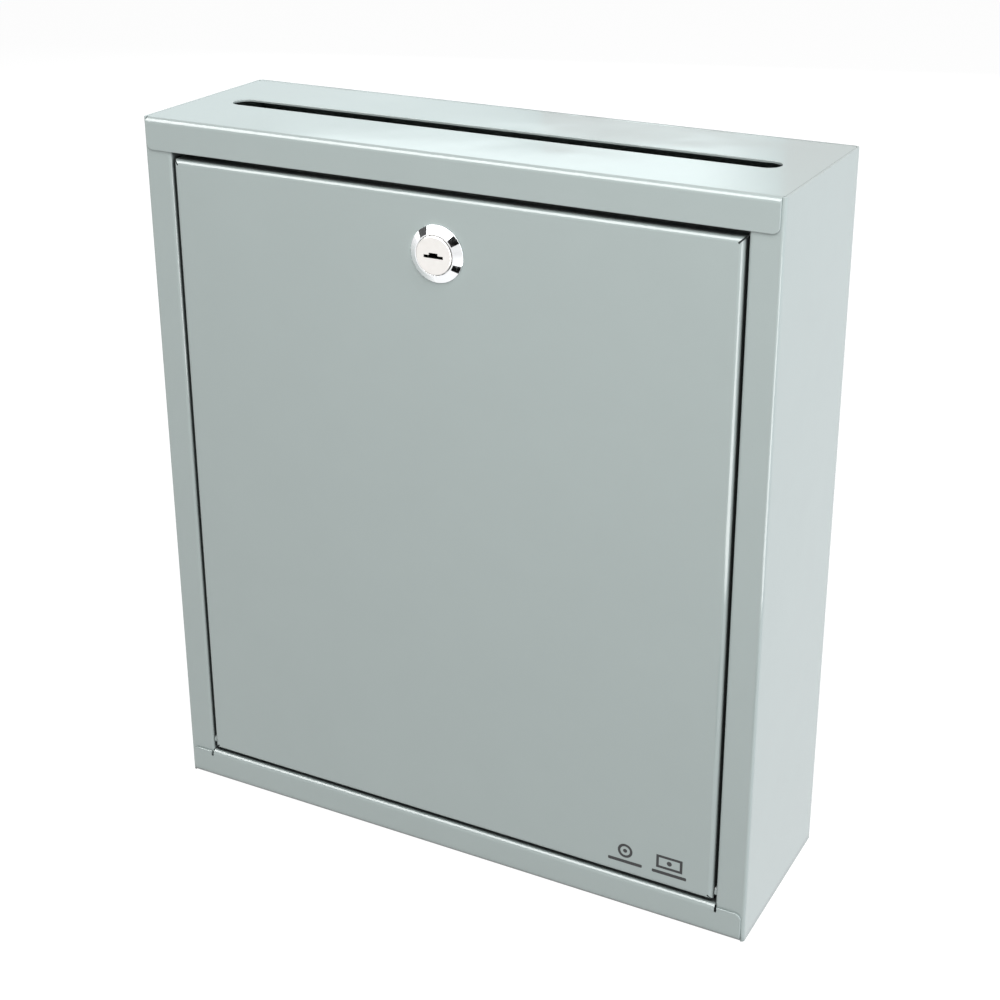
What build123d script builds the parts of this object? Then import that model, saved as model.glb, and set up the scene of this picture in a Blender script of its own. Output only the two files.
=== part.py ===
from build123d import *
import math
import os

# A donation box folded from sheet steel: a slim cabinet with a deposit slot along its top,
# a front door that swings down on two rivets at its bottom corners, and a cam lock.
# Millimetres. The origin is the middle of the underside, the door faces -Y and +Z is up.

os.makedirs("parts", exist_ok=True)

# cabinet
box_width = 300.0
box_depth = 92.0
box_height = 339.0
sheet = 1.0                 # thickness of every folded sheet
bend_inside = 1.5           # inside radius of the panels', the back's and the door's bends
jamb_bend_inside = 0.5      # tighter bends of the side flanges, so that the hinge hole is on the flat
frame_side = 14.0           # width of the frame beside the door
frame_top = 14.5            # height of the frame above the door
frame_bottom = 15.5         # height of the frame below the door, to the top of its lip
frame_bottom_end = 14.5     # height of the bottom front flange where it overlaps the jambs
flange_end_setback = 1.7    # how far the top and bottom front flanges stop short of the sides
flange_corner = 3.0         # rounded free corners of those flanges
edge_break = 0.35           # painted edges are slightly round
jamb_depth = 14.0           # the fold that goes back beside the door
lip_depth = 12.0            # the fold that goes back under the door
back_flange = 12.0          # folds of the top and bottom panels that lie against the back
relief_width = 1.2          # slits that let the lip fold between the jambs
relief_drop = 1.0           # how far the slits go below the lip's bend
seam = 0.1                  # gap at a welded butt seam

# deposit slot
slot_length = 264.0
slot_width = 12.0
slot_setback = 46.0         # from the front face to the middle of the slot

# wall fixing holes in the back
wall_hole = 7.0
wall_spacing_x = 220.0
wall_spacing_z = 220.0
wall_hole_height = 170.0    # middle of the pattern above the underside

# door
door_setback = 0.5          # the door's face behind the front of the top and bottom flanges
door_return = 10.0          # depth of the folds round the door
door_gap_side = 1.4
door_gap_top = 3.0
door_gap_bottom = 1.5        # the door's bottom corner swings down into this gap
door_slit = 0.7             # open mitre at each corner of the door

# hinge rivets
pin_shank = 3.0
pin_bend_gap = 0.0          # from the jamb's bend to the rivet's head
pin_height = 3.7            # from the door's bottom edge to the rivet's axis
pin_head = 4.4
pin_head_thickness = 1.2
pin_tail = 4.2
pin_tail_thickness = 1.0
pin_running_fit = 0.06      # radial clearance in the door
pin_tight_fit = 0.02        # radial clearance in the jamb and the washer
pin_end_play = 0.2
washer_outside = 5.0
washer_door_gap = 0.3

# door stops
stop_width = 6.0            # how far a stop reaches in from the jamb
stop_leg = 4.0              # the leg that is welded to the jamb
stop_above_pin = 40.0       # from the hinge's axis to the stop's lower end
stop_below_top = 24.0       # from the top of the door opening to the stop's upper end
stop_gap = 0.3              # from the door's fold to the stop

# lock, measured from its axis and from the door's face
lock_below_top = 42.5       # from the top of the cabinet to the lock's axis
bezel_overlap = 3.1         # how far the bezel reaches beyond the body all round
bezel_rim = 0.6             # straight rim at the foot of the bezel
bezel_proud = 2.8
bezel_face_wall = 0.6       # flat ring between the cone and the face's recess
body_outside = 18.8
body_flats = 15.8
body_wall = 1.32            # thinnest wall, between a flat and the bore
body_length = 15.9          # behind the door's face
hole_clearance = 0.1        # radial, round the lock's body
face_inset = 1.0            # the plug's face is this much narrower than the body, each side
face_proud = 3.6
face_seat = 0.5             # depth of the bezel that the plug's face sits over
face_clearance = 0.3
face_round = 0.6
bezel_round = 0.2
plug_fit = 0.08             # radial clearance of the plug in its bore
key_width = 9.2
key_slot = 1.3
key_low = -1.1              # bottom of the keyway, from the axis
key_step_width = 4.2
key_step = 1.0
key_depth = 14.7            # keyway, from the plug's face
wafer_count = 5
wafer_pitch = 2.3
wafer_thickness = 1.0
wafer_height = 5.6
wafer_inset = 0.25          # wafers stay this far inside the plug's surface
wafer_clearance = 0.08
wafer_window = (9.0, 2.6)
wafer_first = 3.2           # from the door's face to the first wafer
spring_outside = 1.0
spring_wire = 0.22
spring_length = 5.4
spring_turns = 6
tooth_washer_reach = 3.3    # beyond the body all round
tooth_washer_thickness = 1.0
tooth_count = 16
tooth_depth = 1.6
nut_wall = 2.6              # thinnest wall of the nut
nut_thickness = 4.0
tail_square = 7.0
square_fit = 0.05
stop_washer_outside = 17.4
stop_washer_root = 13.4
stop_washer_thickness = 0.8
stop_lug_angle = 20.0
lug_clearance_angle = 2.0
stack_gap = 0.2             # between the lock's body and the stop washer
cam_thickness = 1.6
cam_width = 14.0
cam_reach = 35.0            # from the axis to the tip
cam_hub = 17.0
cam_tip_corner = 4.0
tail_below_cam = 0.2
spring_washer_outside = 8.0
spring_washer_thickness = 0.8
spring_washer_split = 0.7
bolt_shank = 4.0
bolt_fit = 0.05
bolt_head_flats = 7.0
bolt_head_thickness = 2.8
bolt_length = 5.5           # under the head
bolt_tip_gap = 0.3
lock_turn = 90.0

# strike behind the top front flange
strike_end_gap = 3.0        # from each jamb to the strike's end
strike_leg = 9.0
strike_cam_gap = 0.6
strike_corner = 3.0

# worked out from the sizes above
bend_outside = bend_inside + sheet
jamb_bend_outside = jamb_bend_inside + sheet
half_width = box_width / 2
front = -box_depth / 2
back = box_depth / 2
side_flange_front = front + sheet
opening_half = half_width - frame_side
opening_top = box_height - frame_top
lip_top = frame_bottom
flange_half = half_width - flange_end_setback
panel_half = half_width - sheet - seam
panel_back = back - sheet - seam
back_notch = bend_outside + seam
notch_half = flange_half + seam
notch_height = bend_outside + seam

door_half = opening_half - door_gap_side
door_bottom = lip_top + door_gap_bottom
door_top = opening_top - door_gap_top
door_height = door_top - door_bottom
door_middle = (door_top + door_bottom) / 2
door_face = front + door_setback
door_rear = door_face + door_return

pin_y = side_flange_front + jamb_bend_outside + pin_bend_gap + pin_head / 2
pin_z = door_bottom + pin_height
stop_length = opening_top - stop_below_top - pin_z - stop_above_pin

lock_z = box_height - lock_below_top
plug_outside = body_flats - 2 * (body_wall + plug_fit)
face_outside = body_outside - 2 * face_inset
face_bore = face_outside / 2 + face_clearance
bezel_outside = body_outside + 2 * bezel_overlap
bezel_face = 2 * (face_bore + bezel_face_wall)
nut_flats = body_outside + 2 * nut_wall
tooth_washer_outside = body_outside + 2 * tooth_washer_reach
lock_axis = Axis((0, 0, lock_z), (0, 1, 0))
body_rear = door_face + body_length
stop_washer_front = body_rear + stack_gap
cam_front = stop_washer_front + stop_washer_thickness
cam_rear = cam_front + cam_thickness
tail_end = cam_rear - tail_below_cam
spring_washer_rear = cam_rear + spring_washer_thickness
bolt_hole_depth = bolt_length + bolt_tip_gap - spring_washer_thickness - tail_below_cam


def ring_plane(y):
    """A plane across the lock's axis; extruding from it goes towards the front."""
    return Plane(origin=(0, y, lock_z), x_dir=(1, 0, 0), z_dir=(0, -1, 0))


def write(piece, label):
    piece.part.label = label
    export_step(piece.part, f"parts/{label}.step")


# ---- body wrap: back, both sides, side flanges and the jambs beside the door ----
jamb_end = side_flange_front + jamb_depth
wrap_path = [
    (opening_half, jamb_end),
    (opening_half, side_flange_front),
    (half_width, side_flange_front),
    (half_width, back),
    (-half_width, back),
    (-half_width, side_flange_front),
    (-opening_half, side_flange_front),
    (-opening_half, jamb_end),
]
wrap_radii = 2 * [jamb_bend_outside] + 2 * [bend_outside] + 2 * [jamb_bend_outside]
jamb_overlap = 1.0          # how far a jamb runs on behind the top and bottom flanges
jamb_cut_half = opening_half + jamb_bend_outside + sheet

with BuildPart() as body_wrap:
    with BuildSketch(Plane.XY):
        with BuildLine():
            FilletPolyline(*wrap_path, radius=wrap_radii)
            offset(amount=sheet, side=Side.LEFT)
        make_face()
    extrude(amount=box_height)
    # the front flanges stop where the top and bottom panels fold over them
    front_zone = jamb_bend_outside + sheet + seam
    for base in (0, box_height - notch_height):
        with Locations((0, front, base)):
            Box(2 * notch_half, front_zone, notch_height, mode=Mode.SUBTRACT,
                align=(Align.CENTER, Align.MIN, Align.MIN))
    # the jambs stop a little past the opening
    jamb_low = frame_bottom_end - jamb_overlap
    jamb_high = opening_top + jamb_overlap
    for base, height in ((0, jamb_low), (jamb_high, box_height - jamb_high)):
        with Locations((0, front, base)):
            Box(2 * jamb_cut_half, jamb_depth + 2 * sheet, height, mode=Mode.SUBTRACT,
                align=(Align.CENTER, Align.MIN, Align.MIN))
    with Locations(Plane(origin=(0, pin_y, pin_z), z_dir=(1, 0, 0))):
        for side in (1, -1):
            with Locations((0, 0, side * (opening_half + sheet / 2))):
                Cylinder(pin_shank / 2 + pin_tight_fit, 3 * sheet, mode=Mode.SUBTRACT)
    with Locations(Plane(origin=(0, back, wall_hole_height), x_dir=(1, 0, 0), z_dir=(0, 1, 0))):
        with GridLocations(wall_spacing_x, wall_spacing_z, 2, 2):
            Cylinder(wall_hole / 2, 3 * sheet, mode=Mode.SUBTRACT)

# ---- top panel: top sheet, front flange over the jambs, fold against the back ----
with BuildPart() as top_panel:
    with BuildSketch(Plane.YZ):
        with BuildLine():
            FilletPolyline((front, opening_top), (front, box_height), (panel_back, box_height),
                           (panel_back, box_height - back_flange), radius=bend_outside)
            offset(amount=sheet, side=Side.RIGHT)
        make_face()
    extrude(amount=panel_half, both=True)
    # beside the front flange and at the back corners the sheet is cut back from the wrap's bends
    sheet_front = front + front_zone
    for side in (1, -1):
        with Locations((side * (flange_half + sheet), sheet_front, box_height)):
            Box(2 * sheet, 2 * front_zone, 3 * frame_top, mode=Mode.SUBTRACT,
                align=(Align.CENTER, Align.MAX, Align.CENTER))
        with Locations((side * half_width, back, box_height)):
            Box(2 * back_notch, 2 * back_notch, 3 * frame_top, mode=Mode.SUBTRACT)
    with BuildSketch(Plane.XY.offset(box_height)):
        with Locations((0, front + slot_setback)):
            SlotOverall(slot_length, slot_width)
    extrude(amount=-2 * sheet, mode=Mode.SUBTRACT)
    corners = top_panel.edges().filter_by(Axis.Y).filter_by(lambda e: e.length < 2 * sheet)
    fillet(corners.group_by(Axis.Z)[0], flange_corner)
    slot_rim = top_panel.edges().filter_by(lambda e: abs(e.center().Y - front - slot_setback) < slot_width
                                           and abs(e.center().X) < slot_length / 2
                                           and e.center().Z > box_height - sheet / 2)
    fillet(slot_rim, edge_break)
    flange_face = top_panel.faces().filter_by(Axis.Y).sort_by(Axis.Y)[0]
    flange_rim = flange_face.edges().filter_by(lambda e: e.center().Z < box_height - bend_outside - seam)
    fillet(flange_rim, edge_break)

# ---- bottom panel: floor, front flange over the jambs, lip under the door, fold at the back ----
lip_root = lip_top - bend_outside - relief_drop
lip_half = opening_half - 2 * seam
with BuildPart() as bottom_panel:
    with BuildSketch(Plane.YZ):
        with BuildLine():
            FilletPolyline((front, frame_bottom_end), (front, 0), (panel_back, 0),
                           (panel_back, back_flange), radius=bend_outside)
            offset(amount=sheet, side=Side.LEFT)
        make_face()
    extrude(amount=panel_half, both=True)
    for side in (1, -1):
        with Locations((side * (flange_half + sheet), sheet_front, 0)):
            Box(2 * sheet, 2 * front_zone, 3 * frame_bottom, mode=Mode.SUBTRACT,
                align=(Align.CENTER, Align.MAX, Align.CENTER))
        with Locations((side * half_width, back, 0)):
            Box(2 * back_notch, 2 * back_notch, 3 * frame_bottom, mode=Mode.SUBTRACT)
    corners = bottom_panel.edges().filter_by(Axis.Y).filter_by(lambda e: e.length < 2 * sheet)
    fillet(corners.filter_by(lambda e: e.center().Y < 0).group_by(Axis.Z)[-1], flange_corner)
    # room for the lip and its relief slits
    with Locations((0, front, lip_root)):
        Box(2 * (lip_half + relief_width), 3 * sheet, frame_bottom, mode=Mode.SUBTRACT,
            align=(Align.CENTER, Align.CENTER, Align.MIN))
    flange_face = bottom_panel.faces().filter_by(Axis.Y).sort_by(Axis.Y)[0]
    flange_rim = flange_face.edges().filter_by(
        lambda e: e.center().Z > bend_outside + seam and abs(e.center().X) > lip_half + relief_width + seam)
    fillet(flange_rim, edge_break)
    with BuildSketch(Plane.YZ):
        with BuildLine():
            FilletPolyline((front + lip_depth, lip_top), (front, lip_top), (front, lip_root),
                           radius=bend_outside)
            offset(amount=sheet, side=Side.LEFT)
        make_face()
    extrude(amount=lip_half, both=True)

# ---- door panel: a pan with open mitred corners ----
with BuildPart() as door_panel:
    with Locations((0, door_face, door_middle)):
        Box(2 * door_half, door_return, door_height, align=(Align.CENTER, Align.MIN, Align.CENTER))
    fillet(door_panel.faces().sort_by(Axis.Y)[0].edges(), bend_outside)
    with BuildPart(mode=Mode.PRIVATE) as door_hollow:
        with Locations((0, door_face + sheet, door_middle)):
            Box(2 * (door_half - sheet), door_return, door_height - 2 * sheet,
                align=(Align.CENTER, Align.MIN, Align.CENTER))
        fillet(door_hollow.faces().sort_by(Axis.Y)[0].edges(), bend_inside)
    add(door_hollow.part, mode=Mode.SUBTRACT)
    slit_length = math.sqrt(2) * bend_outside
    for side_x in (1, -1):
        for side_z in (1, -1):
            corner = (side_x * door_half, door_face, door_middle + side_z * door_height / 2)
            with Locations(Location(corner, (0, -45 * side_x * side_z, 0))):
                Box(2 * slit_length, 3 * door_return, door_slit, mode=Mode.SUBTRACT)
    with BuildSketch(ring_plane(door_face + 2 * sheet)):
        Circle(body_outside / 2 + hole_clearance)
        Rectangle(body_flats + 2 * hole_clearance, body_outside * 2, mode=Mode.INTERSECT)
    extrude(amount=4 * sheet, mode=Mode.SUBTRACT)
    with Locations(Plane(origin=(0, pin_y, pin_z), z_dir=(1, 0, 0))):
        for side in (1, -1):
            with Locations((0, 0, side * (door_half - sheet / 2))):
                Cylinder(pin_shank / 2 + pin_running_fit, 3 * sheet, mode=Mode.SUBTRACT)

# ---- door stops: angles welded to the jambs behind the door's folds ----
stop_front = door_rear + stop_gap
with BuildPart() as door_stop_right:
    with BuildSketch(Plane.XY.offset(pin_z + stop_above_pin)):
        with BuildLine():
            FilletPolyline((opening_half - stop_width, stop_front), (opening_half, stop_front),
                           (opening_half, stop_front + stop_leg), radius=jamb_bend_outside)
            offset(amount=sheet, side=Side.LEFT)
        make_face()
    extrude(amount=stop_length)
with BuildPart() as door_stop_left:
    add(door_stop_right.part)
    mirror(about=Plane.YZ, mode=Mode.REPLACE)

# ---- strike: an angle behind the top front flange that the cam turns up behind ----
strike_rear = cam_front - strike_cam_gap
strike_bottom = opening_top + sheet
with BuildPart() as strike:
    with BuildSketch(Plane.YZ):
        with BuildLine():
            FilletPolyline((front + sheet, strike_bottom + strike_leg), (front + sheet, strike_bottom),
                           (strike_rear, strike_bottom), radius=jamb_bend_outside)
            offset(amount=sheet, side=Side.LEFT)
        make_face()
    extrude(amount=opening_half - strike_end_gap, both=True)
    strike_ends = strike.edges().filter_by(Axis.Z).filter_by(lambda e: e.length < 2 * sheet)
    fillet(strike_ends.group_by(Axis.Y)[-1], strike_corner)

# ---- hinge rivets and the washers that keep the door off the jambs ----
pin_plane = Plane(origin=(0, pin_y, pin_z), x_dir=(1, 0, 0), z_dir=(0, 1, 0))
pin_axis = Axis((0, pin_y, pin_z), (1, 0, 0))
tail_x = door_half - sheet - pin_end_play
head_x = opening_half + sheet
with BuildPart() as hinge_pin_right:
    with BuildSketch(pin_plane):
        with BuildLine():
            Polyline((tail_x - pin_tail_thickness, 0), (tail_x - pin_tail_thickness, pin_tail / 4))
            Line((tail_x - pin_tail_thickness, pin_tail / 4), (tail_x - pin_tail_thickness / 2, pin_tail / 2))
            Polyline((tail_x - pin_tail_thickness / 2, pin_tail / 2), (tail_x, pin_tail / 2),
                     (tail_x, pin_shank / 2), (head_x, pin_shank / 2), (head_x, pin_head / 2),
                     (head_x + pin_head_thickness / 2, pin_head / 2),
                     (head_x + pin_head_thickness, pin_head / 4), (head_x + pin_head_thickness, 0),
                     (tail_x - pin_tail_thickness, 0))
        make_face()
    revolve(axis=pin_axis)
with BuildPart() as hinge_pin_left:
    add(hinge_pin_right.part)
    mirror(about=Plane.YZ, mode=Mode.REPLACE)
with BuildPart() as hinge_washer_right:
    with BuildSketch(Plane(origin=(opening_half, pin_y, pin_z), z_dir=(-1, 0, 0))):
        Circle(washer_outside / 2)
        Circle(pin_shank / 2 + pin_tight_fit, mode=Mode.SUBTRACT)
    extrude(amount=door_gap_side - washer_door_gap)
with BuildPart() as hinge_washer_left:
    add(hinge_washer_right.part)
    mirror(about=Plane.YZ, mode=Mode.REPLACE)

# ---- lock housing: bezel, flatted body and the lug that stops the turn ----
bore = plug_outside / 2 + plug_fit
with BuildPart() as lock_housing:
    with BuildSketch(Plane.XY.offset(lock_z)):
        with BuildLine():
            Polyline((bore, body_rear), (body_outside / 2, body_rear), (body_outside / 2, door_face),
                     (bezel_outside / 2, door_face), (bezel_outside / 2, door_face - bezel_rim),
                     (bezel_face / 2, door_face - bezel_proud), (face_bore, door_face - bezel_proud),
                     (face_bore, door_face - face_seat), (bore, door_face - face_seat), (bore, body_rear))
        make_face()
    revolve(axis=lock_axis)
    for side in (1, -1):
        with Locations((side * body_flats / 2, door_face, lock_z)):
            Box(body_outside, body_length, body_outside, mode=Mode.SUBTRACT,
                align=(Align.MIN if side > 0 else Align.MAX, Align.MIN, Align.CENTER))
    # the lug stands up and to the left of the axis when seen from behind
    with BuildSketch(ring_plane(body_rear + stack_gap + stop_washer_thickness)):
        with BuildLine():
            inner = stop_washer_root / 2 + stack_gap
            outer = stop_washer_outside / 2
            start = 90 - stop_lug_angle / 2
            CenterArc((0, 0), outer, start, stop_lug_angle)
            CenterArc((0, 0), inner, start, stop_lug_angle)
            for angle in (start, start + stop_lug_angle):
                Line(Vector(inner, 0).rotate(Axis.Z, angle), Vector(outer, 0).rotate(Axis.Z, angle))
        make_face()
    extrude(amount=stack_gap + stop_washer_thickness)
    rim_edges = lock_housing.edges().filter_by(GeomType.CIRCLE).filter_by(
        lambda e: e.center().Y < door_face - bezel_rim / 2 and e.radius > face_bore - seam)
    fillet(rim_edges.filter_by(lambda e: e.center().Y < door_face - bezel_rim + seam), bezel_round)

# ---- lock plug: face, keyway, wafer slots, square tail and the cam bolt's thread ----
face_front = door_face - face_proud
wafer_places = [door_face + wafer_first + index * wafer_pitch for index in range(wafer_count)]
spring_height = wafer_height / 2 + wafer_clearance + spring_outside / 2 + wafer_clearance
with BuildPart() as lock_plug:
    with BuildSketch(Plane.XY.offset(lock_z)):
        with BuildLine():
            Polyline((0, face_front), (face_outside / 2, face_front),
                     (face_outside / 2, door_face - face_seat - stack_gap),
                     (plug_outside / 2, door_face - face_seat - stack_gap),
                     (plug_outside / 2, body_rear), (0, body_rear), (0, face_front))
        make_face()
    revolve(axis=lock_axis)
    with BuildSketch(ring_plane(tail_end)):
        Rectangle(tail_square, tail_square)
    extrude(amount=tail_end - body_rear)
    fillet(lock_plug.edges().filter_by(GeomType.CIRCLE).sort_by(Axis.Y)[0], face_round)
    with BuildSketch(ring_plane(face_front + key_depth)):
        with Locations((0, key_low + key_slot / 2)):
            Rectangle(key_width, key_slot)
        with Locations((0, key_low + key_slot + key_step / 2)):
            Rectangle(key_step_width, key_step)
    extrude(amount=key_depth + 1, mode=Mode.SUBTRACT)
    for place in wafer_places:
        slot_half = wafer_thickness / 2 + wafer_clearance
        with BuildSketch(ring_plane(place + slot_half)):
            Rectangle(2 * plug_outside, wafer_height + 2 * wafer_clearance)
            with Locations((0, spring_height)):
                Rectangle(spring_length + 2 * wafer_clearance, spring_outside + 2 * wafer_clearance)
        extrude(amount=2 * slot_half, mode=Mode.SUBTRACT)
    with Locations(Plane(origin=(0, tail_end, lock_z), x_dir=(1, 0, 0), z_dir=(0, 1, 0))):
        Cylinder(bolt_shank / 2 + bolt_fit, 2 * bolt_hole_depth, mode=Mode.SUBTRACT)

with BuildPart() as lock_wafers:
    for place in wafer_places:
        with BuildSketch(ring_plane(place + wafer_thickness / 2)):
            Rectangle(2 * plug_outside, wafer_height)
            Circle(plug_outside / 2 - wafer_inset, mode=Mode.INTERSECT)
            Rectangle(*wafer_window, mode=Mode.SUBTRACT)
        extrude(amount=wafer_thickness)

with BuildPart() as wafer_springs:
    for place in wafer_places:
        coil_radius = (spring_outside - spring_wire) / 2
        coil_length = spring_length - spring_wire
        coil = Helix(coil_length / spring_turns, coil_length, coil_radius,
                     center=(-coil_length / 2, place, lock_z + spring_height), direction=(1, 0, 0))
        with BuildSketch(Plane(origin=coil @ 0, z_dir=coil % 0)):
            Circle(spring_wire / 2)
        sweep(path=coil)

# ---- nut and toothed washer that hold the lock in the door ----
door_inside = door_face + sheet
with BuildPart() as lock_tooth_washer:
    with BuildSketch(ring_plane(door_inside + tooth_washer_thickness)):
        Circle(tooth_washer_outside / 2)
        with PolarLocations(tooth_washer_outside / 2, tooth_count):
            Rectangle(tooth_depth * 2, tooth_depth, mode=Mode.SUBTRACT)
        Circle(body_outside / 2 + hole_clearance, mode=Mode.SUBTRACT)
    extrude(amount=tooth_washer_thickness)
nut_front = door_inside + tooth_washer_thickness
with BuildPart() as lock_nut:
    with BuildSketch(ring_plane(nut_front + nut_thickness)):
        RegularPolygon(nut_flats / 2, 6, major_radius=False)
        Circle(body_outside / 2 + bolt_fit, mode=Mode.SUBTRACT)
    extrude(amount=nut_thickness)
    with BuildPart(mode=Mode.PRIVATE) as nut_chamfer:
        with BuildSketch(Plane.XY.offset(lock_z)):
            with BuildLine():
                corner_radius = nut_flats / math.sqrt(3)
                Polyline((0, nut_front), (corner_radius, nut_front),
                         (corner_radius, nut_front + nut_thickness - 1),
                         (nut_flats / 2, nut_front + nut_thickness), (0, nut_front + nut_thickness),
                         (0, nut_front))
            make_face()
        revolve(axis=lock_axis)
    add(nut_chamfer.part, mode=Mode.INTERSECT)

# ---- what turns with the plug: stop washer, cam, spring washer and bolt ----
with BuildPart() as lock_stop_washer:
    with BuildSketch(ring_plane(cam_front)):
        Circle(stop_washer_root / 2)
        # the rim that is left out lets the lug pass through the quarter turn
        open_angle = lock_turn + stop_lug_angle + 2 * lug_clearance_angle
        open_start = 90 - stop_lug_angle / 2 - lug_clearance_angle - lock_turn
        with BuildLine():
            far = stop_washer_outside / 2
            CenterArc((0, 0), far, open_start + open_angle, 360 - open_angle)
            for angle in (open_start, open_start + open_angle):
                Line((0, 0), Vector(far, 0).rotate(Axis.Z, angle))
        make_face()
        Rectangle(tail_square + 2 * square_fit, tail_square + 2 * square_fit, mode=Mode.SUBTRACT)
    extrude(amount=stop_washer_thickness)
with BuildPart() as lock_cam:
    with BuildSketch(ring_plane(cam_rear)):
        Circle(cam_hub / 2)
        with Locations((cam_reach / 2, 0)):
            RectangleRounded(cam_reach, cam_width, cam_tip_corner)
        Rectangle(tail_square + 2 * square_fit, tail_square + 2 * square_fit, mode=Mode.SUBTRACT)
    extrude(amount=cam_thickness)
with BuildPart() as cam_spring_washer:
    with BuildSketch(ring_plane(spring_washer_rear)):
        Circle(spring_washer_outside / 2)
        Circle(bolt_shank / 2 + bolt_fit, mode=Mode.SUBTRACT)
        with Locations((0, spring_washer_outside / 2)):
            Rectangle(spring_washer_split, spring_washer_outside, rotation=-20, mode=Mode.SUBTRACT)
    extrude(amount=spring_washer_thickness)
with BuildPart() as cam_bolt:
    with BuildSketch(ring_plane(spring_washer_rear + bolt_head_thickness)):
        RegularPolygon(bolt_head_flats / 2, 6, major_radius=False)
    extrude(amount=bolt_head_thickness)
    with BuildSketch(ring_plane(spring_washer_rear)):
        Circle(bolt_shank / 2)
    extrude(amount=bolt_length)

for piece, label in (
    (body_wrap, "body_wrap"),
    (top_panel, "top_panel"),
    (bottom_panel, "bottom_panel"),
    (door_panel, "door_panel"),
    (door_stop_left, "door_stop_left"),
    (door_stop_right, "door_stop_right"),
    (strike, "strike"),
    (hinge_pin_left, "hinge_pin_left"),
    (hinge_pin_right, "hinge_pin_right"),
    (hinge_washer_left, "hinge_washer_left"),
    (hinge_washer_right, "hinge_washer_right"),
    (lock_housing, "lock_housing"),
    (lock_tooth_washer, "lock_tooth_washer"),
    (lock_nut, "lock_nut"),
    (lock_plug, "lock_plug"),
    (lock_wafers, "lock_wafers"),
    (wafer_springs, "wafer_springs"),
    (lock_stop_washer, "lock_stop_washer"),
    (lock_cam, "lock_cam"),
    (cam_spring_washer, "cam_spring_washer"),
    (cam_bolt, "cam_bolt"),
):
    write(piece, label)
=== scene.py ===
import math
import random
import bmesh
import bpy
from mathutils import Matrix, Vector


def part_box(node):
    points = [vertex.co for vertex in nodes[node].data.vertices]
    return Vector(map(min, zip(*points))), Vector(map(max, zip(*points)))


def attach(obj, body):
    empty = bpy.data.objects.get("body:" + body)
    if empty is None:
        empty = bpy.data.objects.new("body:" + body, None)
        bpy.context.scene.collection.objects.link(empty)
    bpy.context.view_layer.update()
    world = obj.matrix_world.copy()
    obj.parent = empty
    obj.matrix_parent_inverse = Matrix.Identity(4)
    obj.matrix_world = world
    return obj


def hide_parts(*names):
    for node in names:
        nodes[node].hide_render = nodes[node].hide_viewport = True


# Donation box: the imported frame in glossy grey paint, with its lock, rivets, welds and door mark.
# Metres, in the frame's own axes: the door faces -Y and +Z is up.

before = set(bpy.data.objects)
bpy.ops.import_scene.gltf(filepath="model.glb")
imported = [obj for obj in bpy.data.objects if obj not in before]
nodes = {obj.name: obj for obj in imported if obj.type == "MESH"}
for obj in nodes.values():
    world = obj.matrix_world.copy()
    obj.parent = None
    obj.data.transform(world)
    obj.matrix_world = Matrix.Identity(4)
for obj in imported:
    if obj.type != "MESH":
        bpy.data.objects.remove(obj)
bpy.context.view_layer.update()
print("frame loaded:", len(nodes), "nodes")

mm = 0.001
near = 0.00001      # metres: closer than this counts as the same place
merge = 0.000002    # metres: points closer than this become one
random.seed(7)


def vectorOf(values):
    return Vector([value * mm for value in values])


# camera, floor and lights

cameraSet = {
    "place": (0.3618, -0.6728, 0.5167),
    "round": 27.93,     # degrees round the box from straight in front
    "above": 22.18,     # degrees that it looks down
    "roll": -0.19,
    "lens": 65.11,
    "shiftUp": -0.080,
}


def makeCamera():
    bpy.ops.object.camera_add(location=cameraSet["place"])
    camera = bpy.context.object
    camera.name = "studio_camera"
    turn, fall = math.radians(cameraSet["round"]), math.radians(cameraSet["above"])
    back = Vector((math.sin(turn) * math.cos(fall), -math.cos(turn) * math.cos(fall), math.sin(fall)))
    level = Vector((math.cos(turn), math.sin(turn), 0))
    rise = back.cross(level)
    roll = math.radians(cameraSet["roll"])
    right = level * math.cos(roll) + rise * math.sin(roll)
    up = rise * math.cos(roll) - level * math.sin(roll)
    camera.rotation_mode = "QUATERNION"
    camera.rotation_quaternion = Matrix((right, up, back)).transposed().to_quaternion()
    camera.data.lens = cameraSet["lens"]
    camera.data.shift_y = cameraSet["shiftUp"]
    camera.data.clip_start = 0.01
    camera.data.clip_end = 30
    camera.data.dof.use_dof = False
    bpy.context.scene.camera = camera


makeCamera()
print("camera ready")


# node helpers

class Value:
    # one output socket: arithmetic on it adds Math nodes
    def __init__(self, finish, socket):
        self.finish = finish
        self.socket = socket

    def __add__(self, other):
        return self.finish.sum("ADD", self, other)

    def __radd__(self, other):
        return self.finish.sum("ADD", other, self)

    def __rsub__(self, other):
        return self.finish.sum("SUBTRACT", other, self)

    def __mul__(self, other):
        return self.finish.sum("MULTIPLY", self, other)

    def __rmul__(self, other):
        return self.finish.sum("MULTIPLY", other, self)


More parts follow.
